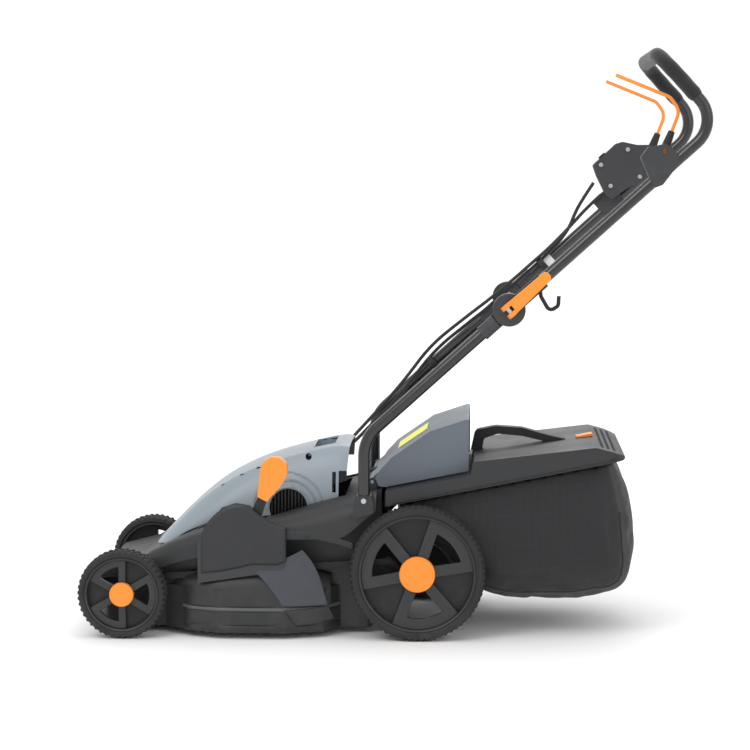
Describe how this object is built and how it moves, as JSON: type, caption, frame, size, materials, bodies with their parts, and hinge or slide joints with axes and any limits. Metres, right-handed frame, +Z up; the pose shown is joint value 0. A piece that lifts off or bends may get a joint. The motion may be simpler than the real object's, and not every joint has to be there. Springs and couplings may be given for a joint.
{
  "type": "push lawn mower",
  "caption": "Walk-behind electric lawn mower with folding handle, sprung switch levers, crank-axle height lever, spinning blade, rear flap and slide-off grass catcher.",
  "frame": {"origin": "middle of the footprint, on the ground", "axes": "+X to the rear, towards the person pushing; +Y to the mower's right; +Z up"},
  "size_m": [1.1608, 0.4676, 1.086],
  "materials": {
    "aluminium": "die-cast aluminium",
    "bearing_steel": "ground bearing steel",
    "black_plastic": "matte black plastic",
    "blade_steel": "tempered steel",
    "cable": "rubber cable sheath",
    "deck_plastic": "fine-grained dark polypropylene",
    "flap_plastic": "satin blue-grey plastic",
    "foam": "closed-cell foam",
    "grey_plastic": "grained grey plastic",
    "hood_plastic": "satin cool grey plastic",
    "mesh_fabric": "black woven mesh",
    "orange_plastic": "satin orange plastic",
    "steel": "zinc-plated steel",
    "tube_paint": "gloss black powder coat on steel tube",
    "tyre": "moulded rubber with fine tread",
    "wheel_plastic": "moulded polypropylene",
    "winding": "laminated core with enamelled winding"
  },
  "bodies": {
    "root": {"deck": "deck_plastic", "side_covers": "grey_plastic", "motor_hood": "hood_plastic", "hood_grilles": "black_plastic", "motor_case": "aluminium", "motor_stator": "winding", "motor_bearings": "bearing_steel", "lower_tubes": "tube_paint", "lower_hinge_discs": "grey_plastic", "lower_cables": "cable", "lower_cable_clip": "black_plastic", "flap_pin": "steel", "deck_screws": "steel"},
    "front_axle": {"front_axle": "steel", "front_wheel_nuts": "steel"},
    "rear_axle": {"rear_axle": "steel", "rear_wheel_nuts": "steel"},
    "link": {"link_rod": "steel"},
    "lever": {"height_lever": "steel", "height_knob": "orange_plastic"},
    "blade": {"rotor_shaft": "steel", "cooling_fan": "black_plastic", "blade_carrier": "aluminium", "blade": "blade_steel", "blade_bolt": "steel"},
    "flap": {"rear_flap": "flap_plastic"},
    "catcher": {"catcher_top": "deck_plastic", "catcher_bag": "mesh_fabric", "catcher_frame": "steel", "catcher_handle": "black_plastic"},
    "indicator": {"fill_indicator": "orange_plastic"},
    "handle": {"upper_handle": "tube_paint", "grip_foam": "foam", "upper_hinge_discs": "grey_plastic", "left_bracket": "grey_plastic", "switch_box_inner": "grey_plastic", "switch_box_outer": "grey_plastic", "switch_box_screws": "steel", "micro_switch": "black_plastic", "hinge_bolts": "steel", "upper_cables": "cable", "upper_cable_clip": "black_plastic", "cord_hook": "black_plastic"},
    "left_cam": {"left_cam_lever": "orange_plastic"},
    "right_cam": {"right_cam_lever": "orange_plastic"},
    "switch": {"switch_levers": "orange_plastic", "lever_boots": "black_plastic"},
    "lock": {"lock_button": "black_plastic"},
    "front_left_wheel": {"front_left_wheel_rim": "wheel_plastic", "front_left_wheel_tyre": "tyre", "front_left_wheel_cap": "orange_plastic"},
    "front_right_wheel": {"front_right_wheel_rim": "wheel_plastic", "front_right_wheel_tyre": "tyre", "front_right_wheel_cap": "orange_plastic"},
    "rear_left_wheel": {"rear_left_wheel_rim": "wheel_plastic", "rear_left_wheel_tyre": "tyre", "rear_left_wheel_cap": "orange_plastic"},
    "rear_right_wheel": {"rear_right_wheel_rim": "wheel_plastic", "rear_right_wheel_tyre": "tyre", "rear_right_wheel_cap": "orange_plastic"}
  },
  "joints": [
    {"name": "height_lever_tilt", "type": "hinge", "parent": "root", "child": "lever", "pos_m": [-0.264, -0.204, 0.19509], "axis": [0, 1, 0], "range_deg": [-44, 0]},
    {"name": "front_axle_tilt", "type": "hinge", "parent": "root", "child": "front_axle", "pos_m": [-0.52251, 0, 0.06193], "axis": [0, 1, 0], "range_deg": [0, 80]},
    {"name": "rear_axle_tilt", "type": "hinge", "parent": "root", "child": "rear_axle", "pos_m": [0.02449, 0, 0.10443], "axis": [0, 1, 0], "range_deg": [0, 80]},
    {"name": "link_pivot", "type": "hinge", "parent": "front_axle", "child": "link", "pos_m": [-0.55337, -0.172, 0.0987], "axis": [0, 1, 0], "range_deg": [-80, 0]},
    {"name": "blade_spin", "type": "hinge", "parent": "root", "child": "blade", "pos_m": [-0.262, 0, 0.06], "axis": [0, 0, 1], "continuous": true},
    {"name": "front_left_wheel_spin", "type": "hinge", "parent": "front_axle", "child": "front_left_wheel", "pos_m": [-0.498, -0.2075, 0.0825], "axis": [0, 1, 0], "continuous": true},
    {"name": "front_right_wheel_spin", "type": "hinge", "parent": "front_axle", "child": "front_right_wheel", "pos_m": [-0.498, 0.2075, 0.0825], "axis": [0, 1, 0], "continuous": true},
    {"name": "rear_left_wheel_spin", "type": "hinge", "parent": "rear_axle", "child": "rear_left_wheel", "pos_m": [0.049, -0.2075, 0.125], "axis": [0, 1, 0], "continuous": true},
    {"name": "rear_right_wheel_spin", "type": "hinge", "parent": "rear_axle", "child": "rear_right_wheel", "pos_m": [0.049, 0.2075, 0.125], "axis": [0, 1, 0], "continuous": true},
    {"name": "flap_lift", "type": "hinge", "parent": "root", "child": "flap", "pos_m": [-0.038, 0, 0.284], "axis": [0, -1, 0], "range_deg": [0, 45], "stiffness_Nm_per_rad": 0.15, "springref_deg": -20.05},
    {"name": "catcher_pull", "type": "slide", "parent": "root", "child": "catcher", "axis": [0.9806, 0, 0.1959], "range_m": [0, 0.3]},
    {"name": "indicator_tip", "type": "hinge", "parent": "catcher", "child": "indicator", "pos_m": [0.3472, 0, 0.3564], "axis": [0, -1, 0], "range_deg": [0, 30]},
    {"name": "handle_fold", "type": "hinge", "parent": "root", "child": "handle", "pos_m": [0.215, 0, 0.611], "axis": [0, -1, 0], "range_deg": [0, 130]},
    {"name": "left_cam_flip", "type": "hinge", "parent": "handle", "child": "left_cam", "pos_m": [0.215, -0.224, 0.611], "axis": [0.6691, 0, -0.7431], "range_deg": [0, 110]},
    {"name": "right_cam_flip", "type": "hinge", "parent": "handle", "child": "right_cam", "pos_m": [0.215, 0.224, 0.611], "axis": [-0.6691, 0, 0.7431], "range_deg": [0, 110]},
    {"name": "switch_pull", "type": "hinge", "parent": "handle", "child": "switch", "pos_m": [0.494, 0, 0.898], "axis": [0, 1, 0], "range_deg": [0, 22], "stiffness_Nm_per_rad": 0.4, "springref_deg": -17.19},
    {"name": "lock_press", "type": "slide", "parent": "handle", "child": "lock", "axis": [0.6822, 0, -0.7312], "range_m": [0, 0.004], "stiffness_N_per_m": 600, "springref_m": -0.003}
  ],
  "couplings": [
    {"joint": "front_axle_tilt", "follows": "height_lever_tilt", "ratio": -1.8182},
    {"joint": "rear_axle_tilt", "follows": "height_lever_tilt", "ratio": -1.8182},
    {"joint": "link_pivot", "follows": "height_lever_tilt", "ratio": 1.8182}
  ]
}
